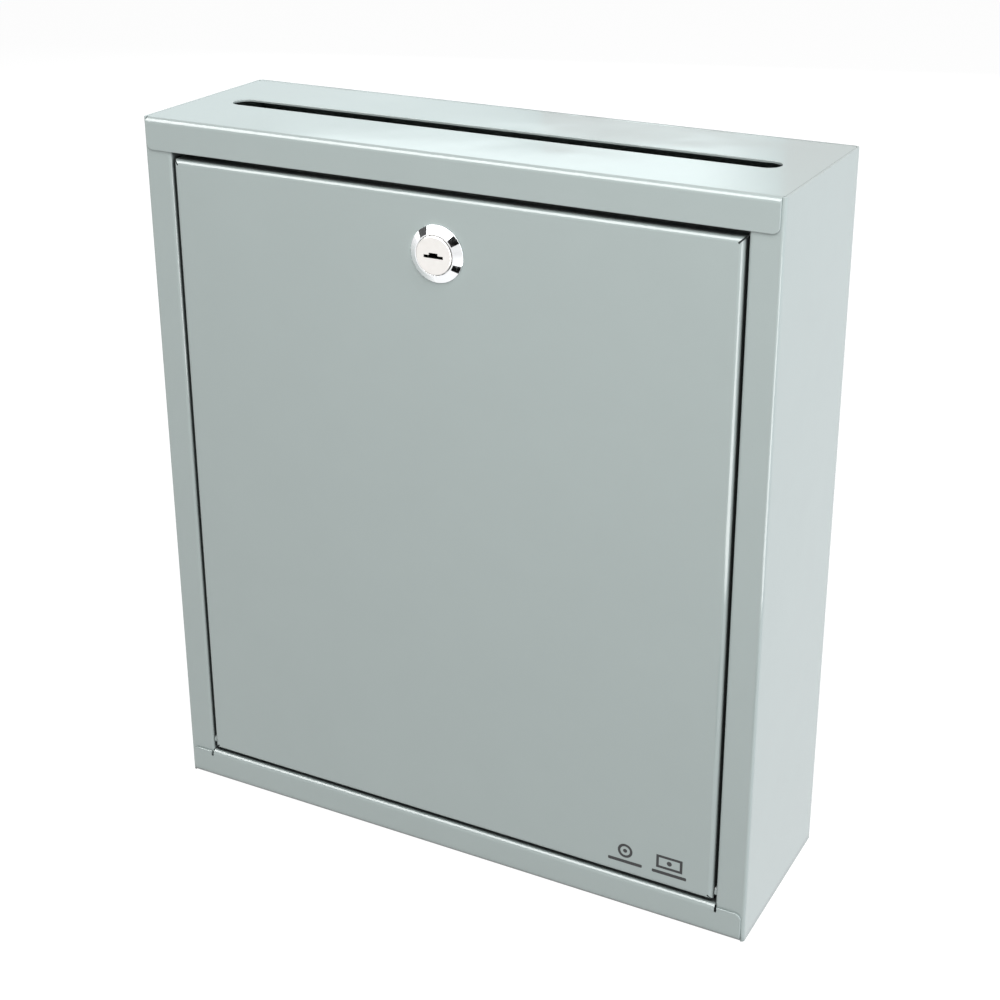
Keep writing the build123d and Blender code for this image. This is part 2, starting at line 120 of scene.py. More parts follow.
class Finish:
    def __init__(self, name, owner=None):
        self.made = owner or bpy.data.materials.new(name)
        self.made.use_nodes = True
        self.tree = self.made.node_tree
        self.tree.nodes.clear()

    def node(self, kind, settings=None, sockets=None, out=0):
        made = self.tree.nodes.new(kind)
        for name, value in (settings or {}).items():
            setattr(made, name, value)
        for name, value in (sockets or {}).items():
            if isinstance(value, Value):
                self.tree.links.new(value.socket, made.inputs[name])
            else:
                made.inputs[name].default_value = value
        return Value(self, made.outputs[out]) if made.outputs else made

    def sum(self, operation, first, second):
        return self.node("ShaderNodeMath", {"operation": operation}, {0: first, 1: second})

    def place(self, scale=(1, 1, 1), centre=(0, 0, 0)):
        here = self.node("ShaderNodeTexCoord", out="Object")
        return self.node("ShaderNodeMapping", {"vector_type": "POINT"},
                         {"Vector": here, "Scale": scale,
                          "Location": [-c * s for c, s in zip(centre, scale)]})

    def noise(self, place, scale, detail=2.0, roughness=0.5):
        return self.node("ShaderNodeTexNoise", {"noise_dimensions": "3D"},
                         {"Vector": place, "Scale": scale, "Detail": detail, "Roughness": roughness})

    def ramp(self, value, low, high, first=0.0, last=1.0):
        return self.node("ShaderNodeMapRange", {"interpolation_type": "SMOOTHSTEP"},
                         {"Value": value, "From Min": low, "From Max": high, "To Min": first, "To Max": last})

    def blend(self, factor, first, second):
        return self.node("ShaderNodeMix", {"data_type": "RGBA"}, {0: factor, 6: first, 7: second}, out=2)

    def bump(self, height, distance, after=None):
        sockets = {"Height": height, "Distance": distance, "Strength": 1.0}
        if after:
            sockets["Normal"] = after
        return self.node("ShaderNodeBump", None, sockets)

    def close(self, sockets):
        surface = self.node("ShaderNodeBsdfPrincipled", None, sockets)
        self.node("ShaderNodeOutputMaterial", None, {"Surface": surface})
        return self.made


def grey(tone, tint=(1, 1, 1)):
    return (tone * tint[0], tone * tint[1], tone * tint[2], 1)


studio = {
    "air": 0.13,                # light from all round on dull surfaces; bright ones see it in full
    "floorGlow": 0.94,
    "floorDim": 0.40,           # how much of that glow dull surfaces don't get
    "floorTone": 0.18,
    "floorSize": 24,
    "floorDown": 0.0002,        # below the box, so that the two don't flicker
    "rightTint": (0.955, 0.985, 1.05),
    "windowTint": (0.90, 1, 1.01, 1),
    "windowFade": (0.28, 0.5),  # share of a window's width over which its sides melt away
    # power, place, size, where it points
    "frontKey": (14.2, (0.42, -0.72, 1.12), (0.9, 0.8), (0, 0, 0.18)),
    "overhead": (4.4, (0.10, -0.30, 1.85), (1.5, 0.9), (0, 0, 0.34)),
    "rightSide": (18.0, (1.65, 0.10, 0.60), (1.3, 1.4), (0, 0, 0.17)),
    "leftFill": (2.5, (-1.5, -0.6, 0.7), (1.0, 1.0), (0, 0, 0.17)),
    "backFill": (11.0, (-0.5, 1.6, 0.7), (1.4, 1.2), (0, 0.05, 0.17)),
}

# cards that only bright surfaces see, as polished metal and gloss paint need:
# two ends measured from the lock, then width and brightness
cards = {
    "viewerCard": ((0.570, -0.900, 0.290), (0.250, -0.895, 0.570), 0.60, 0.004),
    "lowCard": ((0.262, -0.262, -0.293), (0.118, -0.165, -0.293), 0.11, 0.004),
    "leftCard": ((-0.760, -0.470, 0.450), (-0.950, -0.270, 0.150), 0.60, 0.10),
    "overCard": ((-0.75, -1.15, 0.75), (-0.55, -0.25, 1.25), 1.50, 10.5),
    "floorCard": ((0.36, -0.22, -0.293), (0.99, -0.66, -0.293), 0.40, 8.0),
    "windowCard": ((-1.02, 2.05, 0.582), (-1.02, 2.05, 0.90), 0.90, 2.25),
    "windowSideCard": ((-1.52, 2.04, 0.45), (-1.52, 2.04, 1.30), 1.00, 1.40),
}


def makeWorld():
    world = bpy.data.worlds.new("studio_air")
    bpy.context.scene.world = world
    air = Finish("", world)
    diffuse = air.node("ShaderNodeLightPath", out="Is Diffuse Ray")
    strength = 1.0 - (1.0 - studio["air"]) * diffuse
    glow = air.node("ShaderNodeBackground", None, {"Color": (1, 1, 1, 1), "Strength": strength})
    air.node("ShaderNodeOutputWorld", None, {"Surface": glow})


def makeFloor():
    bpy.ops.mesh.primitive_plane_add(size=studio["floorSize"], location=(0, 0, -studio["floorDown"]))
    floor = bpy.context.object
    floor.name = "studio_floor"
    bpy.ops.object.transform_apply(location=True, rotation=True, scale=True)
    pale = Finish("pale_floor")
    tone = studio["floorTone"]
    diffuse = pale.node("ShaderNodeLightPath", out="Is Diffuse Ray")
    glow = studio["floorGlow"] * (1.0 - studio["floorDim"] * diffuse)
    pale.close({"Base Color": (tone, tone, tone, 1), "Roughness": 0.9, "Specular IOR Level": 0.0,
                "Emission Color": (1, 1, 1, 1), "Emission Strength": glow})
    floor.data.materials.append(pale.made)


def makeLight(name):
    power, place, size, target = studio[name]
    bpy.ops.object.light_add(type="AREA", location=place)
    lamp = bpy.context.object
    lamp.name = name
    lamp.data.energy = power
    lamp.data.shape = "RECTANGLE"
    lamp.data.size, lamp.data.size_y = size
    aim = Vector(target) - Vector(place)
    lamp.rotation_mode = "QUATERNION"
    lamp.rotation_quaternion = aim.to_track_quat("-Z", "Y")
    lamp.visible_camera = False
    if name == "backFill":      # it would show in the paint's reflections
        lamp.visible_glossy = False
    if name == "rightSide":
        lamp.data.color = studio["rightTint"]


def makeCard(name, lockPlace):
    first, last, width, tone = cards[name]
    ends = [Vector(first), Vector(last)]
    middle = (ends[0] + ends[1]) / 2
    along = (ends[1] - ends[0]).normalized()
    if abs(along.z) < 0.01:     # a card that lies flat
        across = along.cross(Vector((0, 0, 1)))
    else:
        across = along.cross(middle).normalized()
    bpy.ops.mesh.primitive_plane_add(size=1, location=lockPlace + middle)
    card = bpy.context.object
    card.name = name
    card.rotation_mode = "QUATERNION"
    card.rotation_quaternion = Matrix((along, across, along.cross(across))).transposed().to_quaternion()
    card.scale = ((ends[1] - ends[0]).length, width, 1)
    bpy.ops.object.transform_apply(location=True, rotation=True, scale=True)
    shade = Finish(name)
    tint = (1, 1, 1, 1)
    if "window" in name:    # its sides melt into the white all round
        place = shade.node("ShaderNodeSeparateXYZ", None, {"Vector": shade.place(centre=lockPlace + middle)})
        side = shade.sum("ABSOLUTE", place, 0.0)
        inner, outer = studio["windowFade"]
        tone = shade.ramp(side, width * inner, width * outer, tone, 1.0)
        tint = studio["windowTint"]
    shade.close({"Base Color": (0, 0, 0, 1), "Roughness": 1.0, "Specular IOR Level": 0.0,
                 "Emission Color": tint, "Emission Strength": tone})
    card.data.materials.append(shade.made)
    card.visible_camera = card.visible_diffuse = card.visible_shadow = False
    card.visible_transmission = False


plugLow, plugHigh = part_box("lock_plug")
lockCentre = Vector((0, 0, (plugLow.z + plugHigh.z) / 2))
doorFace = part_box("door_panel")[0].y
bpy.context.scene.view_settings.view_transform = "Standard"
makeWorld()
makeFloor()
for lightName in ("frontKey", "overhead", "rightSide", "leftFill", "backFill"):
    makeLight(lightName)
for cardName in cards:
    makeCard(cardName, lockCentre + Vector((0, doorFace, 0)))
print("studio ready")


# paint and metals

paintSet = {
    "tone": 0.425,
    "tint": (0.885, 1.02, 0.995),
    "inside": 0.62,             # painted shade: inside the folds the paint is this much darker
    "insideRoughness": 0.5,
    "roughness": 0.065,
    "smearRoughness": 0.04,
    "cloudRoughness": 0.02,
    # scale, detail and roughness of each noise
    "peelNoise": (480, 2.0),
    "waveNoise": (17, 2.5, 0.36),
    "cloudNoise": (38, 4.0, 0.6),
    "smearNoise": (1, 3.0, 0.6),
    "speckNoise": (1900, 1.0),
    "smearStretch": (12, 12, 34),
    "smearEdge": (0.45, 0.75),
    "speckEdge": (0.76, 0.82),
    "speckTone": 0.45,
    "speckShare": 0.30,
    "cloudTones": (0.975, 1.02),
    "peel": 0.0000016,          # height of the orange peel
    "wave": 0.00034,            # height of the sheet's waviness
    "paintedShade": 0.10,              # painted shade: how dark the deepest seams and gaps are
    "paintedShadeReach": 0.009,
    "paintedShadeEdge": (0.22, 0.72),
    "bending": 1.5,             # refractive index of the coat
}

# over which depths the painted shade inside sets in and the coat turns rougher, in mm from each outer face
insideEdges = {
    "front": (2.4, 4.2),
    "back": (1.1, 0.5),
    "sides": (1.8, 1.1),
    "bottom": (0.8, 1.4),
    "top": (1.4, 0.7),
}


def insideShadeAndRoughness(finish, front, high):
    # 1 behind the front bends and within the sheets, where shade is painted into the colour and the coat is
    # rougher
    start = {face: pair[0] * mm for face, pair in insideEdges.items()}
    full = {face: pair[1] * mm for face, pair in insideEdges.items()}
    split = finish.node("ShaderNodeSeparateXYZ", None, {"Vector": finish.place()})
    across, deep, up = [Value(finish, socket) for socket in split.socket.node.outputs]
    side = finish.sum("ABSOLUTE", across, 0.0)
    return (finish.ramp(deep, front + start["front"], front + full["front"])
            * finish.ramp(deep, high.y - start["back"], high.y - full["back"], 1.0, 0.0)
            * finish.ramp(side, high.x - start["sides"], high.x - full["sides"], 1.0, 0.0)
            * finish.ramp(up, start["bottom"], full["bottom"])
            * finish.ramp(up, high.z - start["top"], high.z - full["top"], 1.0, 0.0))


def makePaint():
    paint = Finish("grey_paint")
    here = paint.place()
    peel = paint.noise(here, *paintSet["peelNoise"])
    wave = paint.noise(here, *paintSet["waveNoise"])
    cloud = paint.noise(here, *paintSet["cloudNoise"])
    smear = paint.noise(paint.place(paintSet["smearStretch"]), *paintSet["smearNoise"])
    speck = paint.ramp(paint.noise(here, *paintSet["speckNoise"]), *paintSet["speckEdge"])
    inside = insideShadeAndRoughness(paint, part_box("top_panel")[0].y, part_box("body_wrap")[1])
    # painted shade: ambient occlusion darkens the paint's colour in seams, gaps and round the lock
    openness = paint.node("ShaderNodeAmbientOcclusion", {"samples": 8}, {"Distance": paintSet["paintedShadeReach"]},
                      out="AO")
    unshaded = paint.ramp(openness, *paintSet["paintedShadeEdge"])
    tone, tint = paintSet["tone"], paintSet["tint"]
    darker, lighter = paintSet["cloudTones"]
    base = paint.blend(cloud, grey(tone * darker, tint), grey(tone * lighter, tint))
    base = paint.blend(speck * paintSet["speckShare"], base, grey(tone * paintSet["speckTone"], tint))
    # painted shade: darker colour inside the folds and behind the front bends, so the gaps look dark
    base = paint.blend(inside, base, grey(tone * paintSet["inside"], tint))
    # painted shade from the occlusion is mixed into the colour here
    colour = paint.blend(unshaded, grey(tone * paintSet["paintedShade"], tint), base)
    rough = paintSet["roughness"] + paintSet["smearRoughness"] * paint.ramp(smear, *paintSet["smearEdge"])
    rough = rough + paintSet["cloudRoughness"] * cloud
    rough = rough + paintSet["insideRoughness"] * inside
    normal = paint.bump(wave, paintSet["wave"])
    normal = paint.bump(peel, paintSet["peel"], normal)
    return paint.close({"Base Color": colour, "Roughness": rough, "Normal": normal,
                        "IOR": paintSet["bending"]})


def makeChrome():
    chrome = Finish("polished_chrome")
    here = chrome.place()
    haze = chrome.noise(here, 900, 3.0)
    hair = chrome.noise(chrome.place((300, 300, 9000)), 1, 2.0)
    rough = 0.05 + 0.07 * chrome.ramp(haze, 0.45, 0.8)
    return chrome.close({"Base Color": (0.86, 0.87, 0.88, 1), "Metallic": 1.0, "Roughness": rough,
                         "Normal": chrome.bump(hair, 0.0000015)})


satinSet = {
    "rings": 7000.0,            # fine turning marks round the axis
    "tones": ((0.74, 0.72, 0.69, 1), (0.80, 0.78, 0.755, 1)),
    # painted shade: near-black colour for the inside of the keyway
    "keyway": (0.012, 0.011, 0.010, 1),
    # in mm: how deep behind the face the painted keyway shade starts, and how far out from the axis
    "keywayDeep": (0.15, 0.8),
    "keywayOut": (5.2, 5.8),
}


def makeSatin(lockCentre, face):
    satin = Finish("satin_nickel")
    centred = satin.place(centre=lockCentre)
    split = satin.node("ShaderNodeSeparateXYZ", None, {"Vector": centred})
    across = Value(satin, split.socket.node.outputs[0])
    up = Value(satin, split.socket.node.outputs[2])
    radius = satin.sum("SQRT", across * across + up * up, 0.0)
    ring = satin.node("ShaderNodeCombineXYZ", None, {"X": radius * satinSet["rings"]})
    turned = satin.noise(ring, 1, 2.0)
    haze = satin.noise(satin.place(), 500, 3.0)
    tone = satin.blend(haze, *satinSet["tones"])
    deep = Value(satin, split.socket.node.outputs[1])
    shallow, full = satinSet["keywayDeep"]
    inner, outer = satinSet["keywayOut"]
    # painted shade: the plug's metal turns near black inside the keyway
    keyway = (satin.ramp(deep, face + shallow * mm, face + full * mm)
              * satin.ramp(radius, inner * mm, outer * mm, 1.0, 0.0))
    tone = satin.blend(keyway, tone, satinSet["keyway"])
    return satin.close({"Base Color": tone, "Metallic": 1.0, "Roughness": 0.30 + 0.12 * turned,
                        "Normal": satin.bump(turned, 0.000002)})


def makePlated(name, tone, tint, roughness, bumpHeight):
    plated = Finish(name)
    here = plated.place()
    fine = plated.noise(here, 1400, 3.0)
    patch = plated.noise(here, 160, 3.0, 0.6)
    colour = plated.blend(patch, grey(tone * 0.86, tint), grey(tone * 1.1, tint))
    return plated.close({"Base Color": colour, "Metallic": 1.0, "Normal": plated.bump(fine, bumpHeight),
                         "Roughness": roughness + 0.14 * plated.ramp(patch, 0.4, 0.8)})


def makeInk():
    ink = Finish("black_ink")
    grain = ink.noise(ink.place(), 2600, 2.0)
    return ink.close({"Base Color": ink.blend(grain, (0.012, 0.013, 0.014, 1), (0.03, 0.031, 0.032, 1)),
                      "Roughness": 0.42 + 0.12 * grain, "Normal": ink.bump(grain, 0.000004)})


finishes = {
    "paint": makePaint(),
    "chrome": makeChrome(),
    "satin": makeSatin(tuple(lockCentre), plugLow.y),
    "zinc": makePlated("zinc_plating", 0.56, (1.0, 1.01, 1.03), 0.28, 0.000005),
    "steel": makePlated("spring_steel_wire", 0.42, (1.0, 0.98, 0.95), 0.30, 0.000002),
    "brass": makePlated("wafer_brass", 0.30, (1.15, 0.88, 0.46), 0.26, 0.000002),
    "ink": makeInk(),
}
nodeFinish = {
    "lock_plug": "satin", "lock_housing": "chrome", "lock_wafers": "brass", "wafer_springs": "steel",
    "lock_tooth_washer": "zinc", "lock_nut": "zinc", "lock_stop_washer": "zinc", "lock_cam": "zinc",
    "cam_spring_washer": "zinc", "cam_bolt": "zinc",
}
for nodeName, node in nodes.items():
    chosen = finishes[nodeFinish.get(nodeName, "paint")]
    for place in node.material_slots:
        place.material = chosen
print("finishes ready:", len(finishes))


# modelling helpers

axes = {"X": Vector((1, 0, 0)), "Y": Vector((0, 1, 0)), "Z": Vector((0, 0, 1))}
facing = {"X": (0, math.radians(90), 0), "Y": (math.radians(90), 0, 0), "Z": (0, 0, 0)}


def chooseOnly(*chosen):
    bpy.ops.object.select_all(action="DESELECT")
    for one in chosen:
        one.select_set(True)
    bpy.context.view_layer.objects.active = chosen[0]


def startEdit(piece):
    chooseOnly(piece)
    bpy.ops.object.mode_set(mode="EDIT")


def endEdit():
    bpy.ops.object.mode_set(mode="OBJECT")


def pick(kind, test):
    # in edit mode, selects the faces, edges or verts that pass the test
    bpy.ops.mesh.select_mode(type={"faces": "FACE", "edges": "EDGE", "verts": "VERT"}[kind])
    bpy.ops.mesh.select_all(action="DESELECT")
    shape = bmesh.from_edit_mesh(bpy.context.object.data)
    for part in getattr(shape, kind):
        if test(part):
            part.select_set(True)
    shape.select_flush_mode()
    bmesh.update_edit_mesh(bpy.context.object.data)


def settle(name):
    # the new primitive gets its name, and its place goes into its mesh
    piece = bpy.context.object
    chooseOnly(piece)
    piece.name = name
    bpy.ops.object.transform_apply(location=True, rotation=True, scale=True)
    return piece


def tidyMesh(piece):
    startEdit(piece)
    bpy.ops.mesh.select_all(action="SELECT")
    bpy.ops.mesh.remove_doubles(threshold=merge)
    bpy.ops.mesh.normals_make_consistent(inside=False)
    endEdit()


def block(name, centre, size):
    bpy.ops.mesh.primitive_cube_add(size=1, location=centre, scale=[value * mm for value in size])
    return settle(name)


def turned(name, axis, centre, profile, around=96, ring=False):
    # a circle drawn out along the axis, wider or narrower at each (radius, step) of the profile
    along = axes[axis]
    radius, step = profile[0]
    bpy.ops.mesh.primitive_circle_add(vertices=around, radius=radius * mm, rotation=facing[axis],
                                      location=centre + along * step * mm)
    piece = settle(name)
    startEdit(piece)
    bpy.ops.mesh.select_all(action="SELECT")
    for (oldRadius, oldStep), (radius, step) in zip(profile, profile[1:]):
        bpy.ops.mesh.extrude_region_move(TRANSFORM_OT_translate={"value": along * (step - oldStep) * mm})
        grow = radius / oldRadius
        bpy.ops.transform.resize(value=[1 if part else grow for part in along],
                                 center_override=centre + along * step * mm)
    if ring:
        pick("edges", lambda edge: edge.is_boundary)
        bpy.ops.mesh.bridge_edge_loops()
    endEdit()
    for end in () if ring else (0, -1):
        radius, step = profile[end]
        flat = (centre + along * step * mm).dot(along)
        startEdit(piece)
        pick("edges", lambda edge: edge.is_boundary and all(
            abs(vert.co.dot(along) - flat) < near for vert in edge.verts))
        bpy.ops.mesh.edge_face_add()
        endEdit()
    tidyMesh(piece)
    return piece


def apply(piece, kind, **settings):
    chooseOnly(piece)
    modifier = piece.modifiers.new(kind.lower(), kind)
    for name, value in settings.items():
        setattr(modifier, name, value)
    bpy.ops.object.modifier_apply(modifier=modifier.name)


def cut(piece, tool, operation="DIFFERENCE"):
    apply(piece, "BOOLEAN", operation=operation, solver="EXACT", object=tool)
    bpy.data.objects.remove(tool)


def trim(piece, place, outward):
    # takes off what lies beyond a plane and closes the cut
    startEdit(piece)
    bpy.ops.mesh.select_all(action="SELECT")
    bpy.ops.mesh.bisect(plane_co=place, plane_no=outward, use_fill=True, clear_outer=True)
    endEdit()


def soften(piece, width, segments=3, angle=30):
    # rounds each edge sharper than the angle, and the flats stay flat to the eye; an "edge" below
    # holds this width in mm, the segments and the angle
    chooseOnly(piece)
    bpy.ops.object.shade_smooth()
    apply(piece, "BEVEL", width=width * mm, segments=segments, limit_method="ANGLE",
          angle_limit=math.radians(angle), miter_outer="MITER_ARC", harden_normals=True)


def copyOf(piece, name):
    chooseOnly(piece)
    bpy.ops.object.duplicate(linked=False)
    bpy.context.object.name = name
    return bpy.context.object


def joined(name, pieces):
    chooseOnly(*pieces)
    bpy.ops.object.join()
    made = bpy.context.object
    made.name = name
    return made


def fit(piece, body, finishName, stands=()):
    piece.data.materials.clear()
    piece.data.materials.append(finishes[finishName])
    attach(piece, body)
    if stands:
        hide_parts(*stands)


# lock

lockFace = lockCentre + Vector((0, doorFace, 0))
stackGap = 0.0002       # from the barrel's end to the stop washer
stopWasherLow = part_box("lock_stop_washer")[0]
barrelLength = (stopWasherLow.y - stackGap - doorFace) / mm


def makeHousing():
    # steps are behind the door's face; the bezel stands in front of it
    housing = {
        "bezel": [(6.58, -0.5), (8.7, -0.5), (8.7, -2.8), (9.25, -2.8), (12.5, -0.62), (12.5, 0), (6.58, 0)],
        "barrel": [(6.58, -0.1), (8.92, -0.1), (8.92, barrelLength - 0.5), (8.45, barrelLength),
                   (6.58, barrelLength)],
        "bezelEdge": (0.14, 3, 20),
        "barrelEdge": (0.10, 2, 35),
        "threadPitch": 1.0,
        "threadDepth": 0.36,
        "threadRoot": 8.98,
        "threadStart": 1.3,
        "threadPlain": 2.4,     # length of the barrel that has no thread
        "threadSteps": 48,
        "flat": 7.9,
        "lug": (3.0, 1.0, 1.8),
        "lugPlace": 7.8,
        "lugEdge": 0.2,
    }
    bezel = turned("lock_bezel", "Y", lockFace, housing["bezel"], 128, ring=True)
    soften(bezel, *housing["bezelEdge"])
    barrel = turned("lock_barrel", "Y", lockFace, housing["barrel"], 96, ring=True)
    depth, pitch, steps = housing["threadDepth"], housing["threadPitch"], housing["threadSteps"]
    turns = int(barrelLength - housing["threadPlain"])
    bpy.ops.mesh.primitive_circle_add(vertices=3, radius=depth * mm, location=lockFace)
    thread = bpy.context.object
    thread.name = "lock_thread"
    startEdit(thread)
    bpy.ops.mesh.select_all(action="SELECT")
    bpy.ops.transform.rotate(value=math.radians(90), orient_axis="Z", center_override=lockFace)
    bpy.ops.transform.translate(value=(housing["threadRoot"] * mm, housing["threadStart"] * mm, 0))
    endEdit()
    apply(thread, "SCREW", axis="Y", angle=math.radians(360), screw_offset=pitch * mm, iterations=turns,
          steps=steps, render_steps=steps, use_normal_calculate=True, use_merge_vertices=False)
    thread = settle("lock_thread")
    startEdit(thread)
    pick("edges", lambda edge: edge.is_boundary)
    bpy.ops.mesh.edge_face_add()
    endEdit()
    for part in (barrel, thread):
        for side in (1, -1):
            trim(part, (side * housing["flat"] * mm, 0, 0), (side, 0, 0))
        tidyMesh(part)
    soften(barrel, *housing["barrelEdge"])
    lugMiddle = lockFace + vectorOf((0, barrelLength + housing["lug"][1] / 2, housing["lugPlace"]))
    lug = block("lock_lug", lugMiddle, housing["lug"])
    soften(lug, housing["lugEdge"])
    whole = joined("lock_body", [bezel, barrel, thread, lug])
    fit(whole, "door", "chrome", ["lock_housing"])


def makeNut():
    nut = {"flats": 24.0, "thickness": 4.0, "bore": 9.45, "mouth": 10.1, "mouthDepth": 0.6,
           "chamfer": 0.9, "rimInset": 0.2, "past": 0.1, "edge": (0.18, 2, 25)}
    low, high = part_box("lock_nut")
    middle = (low + high) / 2
    chamfer, half, corner = nut["chamfer"], nut["thickness"] / 2, nut["flats"] / math.sqrt(3)
    bpy.ops.mesh.primitive_cylinder_add(vertices=6, radius=corner * mm, depth=nut["thickness"] * mm,
                                        location=middle, rotation=(math.radians(90), math.radians(90), 0))
    hexagon = settle("lock_ring_nut")
    rimEnd = nut["flats"] / 2 - nut["rimInset"]
    rim = turned("nut_rim", "Y", middle, [(rimEnd, -half), (corner, chamfer - half),
                                          (corner, half - chamfer), (rimEnd, half)], 96)
    cut(hexagon, rim, "INTERSECT")
    mouth, mouthDepth, past = nut["mouth"], nut["mouthDepth"], nut["past"]
    bore = turned("nut_bore", "Y", middle, [(mouth, -half - past), (nut["bore"], mouthDepth - half),
                                            (nut["bore"], half - mouthDepth), (mouth, half + past)], 96)
    cut(hexagon, bore)
    tidyMesh(hexagon)
    soften(hexagon, *nut["edge"])
    fit(hexagon, "door", "zinc", ["lock_nut"])


def makeToothWasher():
    washer = {"inside": 9.5, "root": 11.2, "half": 0.3, "teeth": 16, "tooth": (1.9, 0.55, 2.3),
              "toothOut": 0.35, "toothTip": 0.72, "twist": 11, "edge": (0.08, 2, 30)}
    low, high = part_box("lock_tooth_washer")
    middle = (low + high) / 2
    inside, root, half = washer["inside"], washer["root"], washer["half"]
    ring = turned("washer_ring", "Y", middle, [(inside, -half), (root, -half), (root, half), (inside, half)],
                  96, ring=True)
    parts = [ring]
    tooth = block("washer_tooth", middle + vectorOf((0, 0, root + washer["toothOut"])), washer["tooth"])
    startEdit(tooth)
    bpy.ops.mesh.select_all(action="SELECT")
    bpy.ops.transform.rotate(value=math.radians(washer["twist"]), orient_axis="Z",
                             center_override=middle)
    pick("faces", lambda face: face.normal.z > 0.9)
    bpy.ops.transform.resize(value=(washer["toothTip"], 1, 1), center_override=middle)
    endEdit()
    for index in range(washer["teeth"]):
        one = copyOf(tooth, "washer_tooth_copy")
        startEdit(one)
        bpy.ops.mesh.select_all(action="SELECT")
        bpy.ops.transform.rotate(value=math.radians(360 / washer["teeth"] * index), orient_axis="Y",
                                 center_override=middle)
        endEdit()
        parts.append(one)
    bpy.data.objects.remove(tooth)
    whole = joined("shakeproof_washer", parts)
    soften(whole, *washer["edge"])
    fit(whole, "door", "zinc", ["lock_tooth_washer"])


def makeCam():
    low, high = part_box("lock_cam")
    thickness = (high.y - low.y) / mm
    cam = {"hub": 8.5, "width": 14.0, "reach": 35.0, "tip": 4.0, "hole": 7.1, "edge": (0.28, 3, 35)}
    centre = Vector((0, (low.y + high.y) / 2, lockCentre.z))
    arm = block("cam_arm", centre + vectorOf((cam["reach"] / 2, 0, 0)),
                (cam["reach"], thickness, cam["width"]))
    startEdit(arm)
    tip = centre.x + cam["reach"] * mm - near
    pick("edges", lambda edge: all(vert.co.x > tip for vert in edge.verts)
         and abs(edge.verts[0].co.y - edge.verts[1].co.y) > thickness / 2 * mm)
    bpy.ops.mesh.bevel(offset=cam["tip"] * mm, segments=8, offset_type="OFFSET")
    endEdit()
    half = thickness / 2
    hub = turned("cam_hub", "Y", centre, [(cam["hub"], -half), (cam["hub"], half)], 64)
    cut(arm, hub, "UNION")
    hole = block("cam_hole", centre, (cam["hole"], 2 * thickness, cam["hole"]))
    cut(arm, hole)
    tidyMesh(arm)
    arm.name = "cam_plate"
    soften(arm, *cam["edge"])
    fit(arm, "lock_core", "zinc", ["lock_cam"])


def makeCamBolt():
    low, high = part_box("cam_bolt")
    bolt = {"flats": 7.0, "head": 2.8, "shank": 1.9, "point": 1.5, "pointLength": 0.5, "chamfer": 0.55,
            "rimInset": 0.15, "past": 0.1, "dish": [(1.2, -0.35), (2.3, 0.05)], "edge": (0.12, 2, 25)}
    top = Vector((0, high.y, lockCentre.z))
    flats, head, shankWide = bolt["flats"], bolt["head"], bolt["shank"]
    corner, end = flats / math.sqrt(3), (low.y - high.y) / mm
    bpy.ops.mesh.primitive_cylinder_add(vertices=6, radius=corner * mm, depth=head * mm,
                                        location=top - vectorOf((0, head / 2, 0)),
                                        rotation=(math.radians(90), math.radians(90), 0))
    hexagon = settle("cam_screw")
    rim = turned("bolt_rim", "Y", top, [(corner, -head - bolt["past"]), (corner, -bolt["chamfer"]),
                                        (flats / 2 - bolt["rimInset"], 0)], 64)
    cut(hexagon, rim, "INTERSECT")
    dish = turned("bolt_dish", "Y", top, bolt["dish"], 48)
    cut(hexagon, dish)
    tidyMesh(hexagon)
    soften(hexagon, *bolt["edge"])
    shank = turned("bolt_shank", "Y", top, [(bolt["point"], end), (shankWide, end + bolt["pointLength"]),
                                            (shankWide, -head)], 32)
    whole = joined("cam_screw", [hexagon, shank])
    fit(whole, "lock_core", "zinc", ["cam_bolt"])


def makeSpringWasher():
    split = {"profile": [(2.1, -0.4), (4.0, -0.4), (4.0, 0.4), (2.1, 0.4)], "gap": (0.7, 2, 8),
             "slant": 25, "edge": (0.12, 2, 35)}
    low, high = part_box("cam_spring_washer")
    middle = Vector((0, (low.y + high.y) / 2, lockCentre.z))
    ring = turned("split_washer", "Y", middle, split["profile"], 64, ring=True)
    gap = block("washer_gap", middle + vectorOf((0, 0, split["gap"][2] / 2)), split["gap"])
    startEdit(gap)
    bpy.ops.mesh.select_all(action="SELECT")
    bpy.ops.transform.rotate(value=math.radians(split["slant"]), orient_axis="Z", center_override=middle)
    endEdit()
    cut(ring, gap)
    tidyMesh(ring)
    soften(ring, *split["edge"])
    fit(ring, "lock_core", "zinc", ["cam_spring_washer"])


makeHousing()
makeNut()
makeToothWasher()
makeCam()
makeCamBolt()
makeSpringWasher()
print("lock ready")


# hinge rivets

def makeRivet(side):
    name = "hinge_pin_right" if side > 0 else "hinge_pin_left"
    low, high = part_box(name)
    rivet = {"shank": 1.5, "tail": 2.1, "tailHeight": 1.0, "head": 2.2, "headHeight": 1.2,
             "dome": (8, 24, 42, 60, 76, 90), "edge": (0.06, 2, 50)}
    length = (high.x - low.x) / mm
    inner = low.x if side > 0 else high.x
    start = Vector((inner, (low.y + high.y) / 2, (low.z + high.z) / 2))
    tail, tailHeight = rivet["tail"], rivet["tailHeight"]
    head, headHeight = rivet["head"], rivet["headHeight"]
    arc = [math.radians(angle) for angle in rivet["dome"]]
    profile = [(tail * math.sin(a), tailHeight * (1 - math.cos(a))) for a in arc]
    profile += [(rivet["shank"], tailHeight), (rivet["shank"], length - headHeight)]
    profile += [(head * math.sin(a), length - headHeight * (1 - math.cos(a))) for a in reversed(arc)]
    made = turned("rivet_right" if side > 0 else "rivet_left", "X", start,
                  [(radius, side * step) for radius, step in profile], 48)
    soften(made, *rivet["edge"])
    fit(made, "cabinet", "zinc", [name])


for side in (1, -1):
    makeRivet(side)
print("rivets ready")


# welds

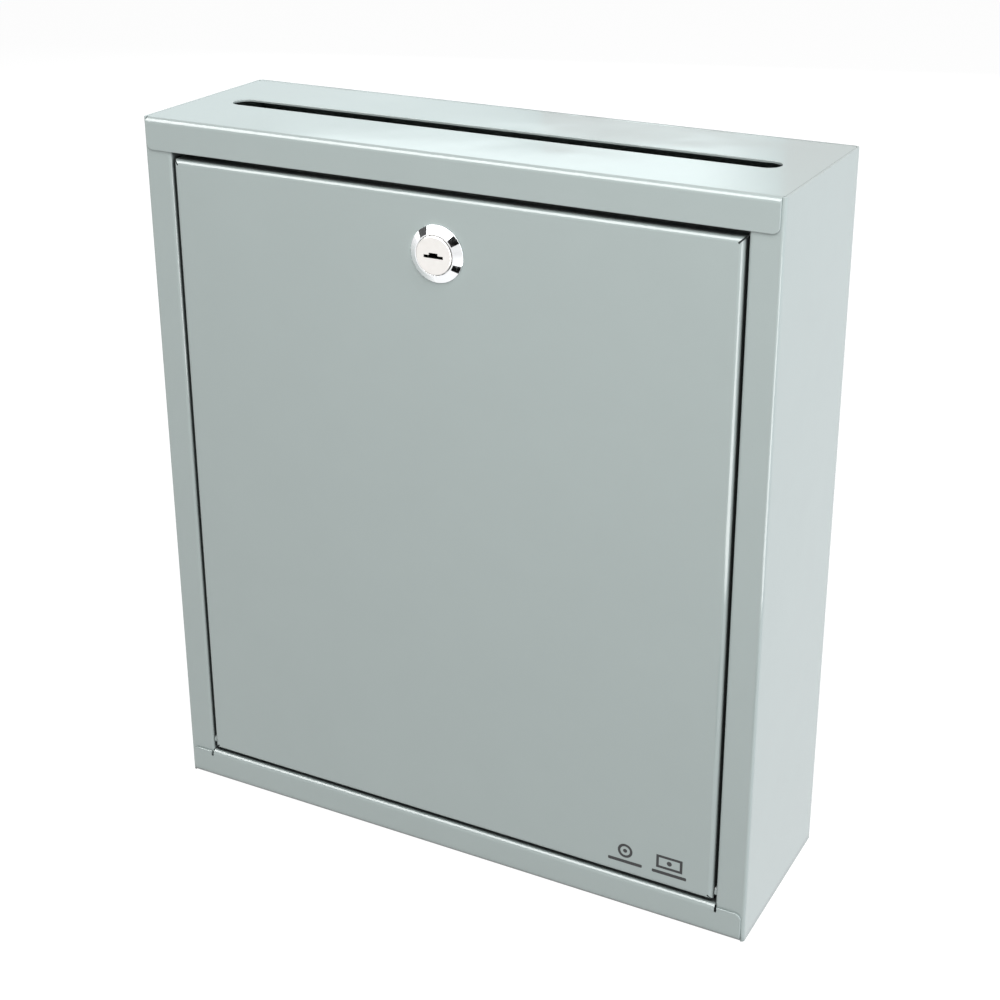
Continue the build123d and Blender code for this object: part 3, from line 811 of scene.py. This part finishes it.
def makeSpotWelds():
    welds = {"columns": (-126, -63, 0, 63, 126), "fromEnd": 7.0, "edge": (0.02, 1, 60),
             "ring": [(2.9, -0.01), (2.75, 0.05), (2.4, 0.09), (2.05, 0.05), (1.2, 0.012), (0.3, 0.01)]}
    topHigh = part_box("top_panel")[1]
    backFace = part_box("body_wrap")[1].y
    heights = (welds["fromEnd"] * mm, topHigh.z - welds["fromEnd"] * mm)
    first = turned("spot_weld", "Y", Vector((0, backFace, 0)), welds["ring"], 36)
    soften(first, *welds["edge"])
    spots = []
    for height in heights:
        for column in welds["columns"]:
            spot = copyOf(first, "spot_weld_copy")
            spot.location = (column * mm, 0, height)
            spots.append(settle("spot_weld_copy"))
    bpy.data.objects.remove(first)
    fit(joined("back_spot_welds", spots), "cabinet", "paint")


def makeRearSeam():
    # the folded edge of the top is filled and ground flush along the back; so is the bottom's
    seam = {
        "depth": 2.2,
        "height": 2.1,
        "sunk": 0.04,
        "shorter": 4.6,         # than the panel, both ends together
        "wall": 0.98,           # from the back's outer face to the fill's
        "parts": 60,            # the bar is split so that its face can be uneven
        "uneven": 0.05,
        "smoothAngle": 40,
        "corner": (2.7, 2.7, 2.1),
        "cornerIn": 2.65,       # from the side to the middle of a corner's fill
        "cornerEdge": (0.3, 2),
    }
    panelLow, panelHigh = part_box("top_panel")
    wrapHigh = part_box("body_wrap")[1]
    width = (panelHigh.x - panelLow.x) / mm - seam["shorter"]
    wall = wrapHigh.y - seam["wall"] * mm
    for name, level, side in (("rear_seam_top", wrapHigh.z - seam["sunk"] * mm, 1),
                              ("rear_seam_bottom", seam["sunk"] * mm, -1)):
        middle = Vector((0, wall - seam["depth"] / 2 * mm, level - side * seam["height"] / 2 * mm))
        bar = block(name, middle, (width, seam["depth"], seam["height"]))
        corner = Vector((0, wall - seam["depth"] * mm, level))
        trim(bar, corner, (0, -seam["height"], -side * seam["depth"]))
        startEdit(bar)
        for place in range(1, seam["parts"]):
            bpy.ops.mesh.select_all(action="SELECT")
            x = -width / 2 + width * place / seam["parts"]
            bpy.ops.mesh.bisect(plane_co=(x * mm, 0, 0), plane_no=(1, 0, 0))
        endEdit()
        for vert in bar.data.vertices:
            if abs(vert.co.z - level) < near:
                vert.co.z -= side * random.uniform(0, seam["uneven"]) * mm
        tidyMesh(bar)
        chooseOnly(bar)
        bpy.ops.object.shade_smooth_by_angle(angle=math.radians(seam["smoothAngle"]))
        fills = [bar]
        deep, high = seam["corner"][1] / 2, seam["corner"][2] / 2
        for end in (1, -1):
            centre = Vector((end * (wrapHigh.x - seam["cornerIn"] * mm), wall - deep * mm,
                             level - side * high * mm))
            fill = block("corner_fill", centre, seam["corner"])
            soften(fill, *seam["cornerEdge"])
            fills.append(fill)
        fit(joined(name, fills), "cabinet", "paint")


makeSpotWelds()
makeRearSeam()
print("welds ready")


# printed mark: a coin and a note, each above its slot

def makeMark():
    mark = {
        "centre": (103.0, 28.0),
        "spacing": 21.5,
        "ink": 0.035,           # thickness
        "line": 1.25,
        "coin": 3.6,
        "coinDot": (0.95, 1.0),
        "note": (12.6, 6.8),
        "noteDot": (1.15, 1.2),
        "slot": (16.6, 1.6),
        "slotRound": 0.45,
        "rise": 1.7,            # of a picture's middle above the mark's
        "slotDown": 5.7,        # of a slot's middle below its picture's
    }
    x, z = mark["centre"]
    ink, line = mark["ink"], mark["line"]
    half = ink / 2
    face = doorFace - half * mm
    parts = []
    for picture, side in (("coin", -1), ("note", 1)):
        here = Vector(((x + side * mark["spacing"] / 2) * mm, face, (z + mark["rise"]) * mm))
        if picture == "coin":
            outer, inner = mark["coin"], mark["coin"] - line
            parts.append(turned("mark_coin", "Y", here, [(inner, -half), (outer, -half), (outer, half),
                                                         (inner, half)], 64, ring=True))
            back, front = mark["coinDot"]
            parts.append(turned("mark_centre", "Y", here, [(back, -half), (front, 0), (front, half)], 32))
        else:
            wide, high = mark["note"]
            note = block("mark_note", here, (wide, ink, high))
            hole = block("mark_hole", here, (wide - 2 * line, 1, high - 2 * line))
            cut(note, hole)
            parts.append(note)
            back, front = mark["noteDot"]
            parts.append(turned("mark_dot", "Y", here, [(back, -half), (front, 0), (front, half)], 32))
        slotWide, slotHigh = mark["slot"]
        bar = block("mark_slot", here - vectorOf((0, 0, mark["slotDown"])), (slotWide, ink, slotHigh))
        startEdit(bar)
        pick("edges", lambda edge: abs(edge.verts[0].co.y - edge.verts[1].co.y) > half * mm)
        bpy.ops.mesh.bevel(offset=mark["slotRound"] * mm, segments=4)
        endEdit()
        parts.append(bar)
    whole = joined("door_mark", parts)
    tidyMesh(whole)
    fit(whole, "door", "ink")


makeMark()
print("mark ready")
